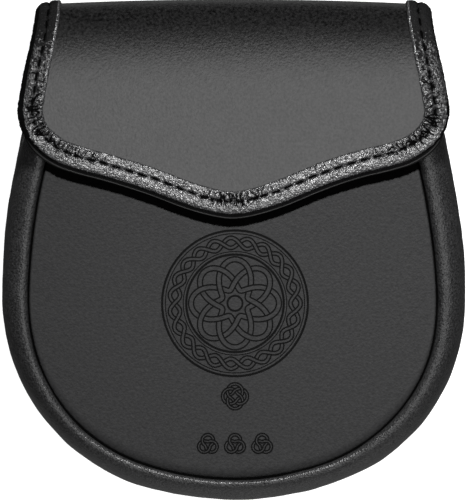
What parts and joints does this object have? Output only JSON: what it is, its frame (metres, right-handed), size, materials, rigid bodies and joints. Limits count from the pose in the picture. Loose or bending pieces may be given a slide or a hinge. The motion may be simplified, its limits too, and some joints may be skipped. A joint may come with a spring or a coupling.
{
  "type": "leather sporran pouch",
  "caption": "Round-bottomed leather belt pouch with a gusset, a bound pointed flap folded over its mouth, and belt loops on its back.",
  "frame": {"origin": "middle of the back, on the surface that the pouch lies on", "axes": "+X across the pouch, to the right of someone who faces its front; +Y up its front, towards the flap's fold; +Z out of its front"},
  "size_m": [0.1856, 0.1995, 0.0415],
  "materials": {
    "smooth_leather": "smooth black leather with a soft satin finish",
    "soft_leather": "soft black leather with a fine grain",
    "pebbled_leather": "soft pebbled black leather with a sheen",
    "lining_leather": "thin matt black leather",
    "clasp_metal": "nickel-plated fastener"
  },
  "bodies": {
    "root": {"front_panel": "smooth_leather", "gusset": "soft_leather", "back_panel": "soft_leather", "flap": "smooth_leather", "flap_binding": "pebbled_leather", "flap_lining": "lining_leather", "clasp_stud": "clasp_metal", "belt_loop_left": "smooth_leather", "belt_loop_right": "smooth_leather"}
  },
  "joints": []
}
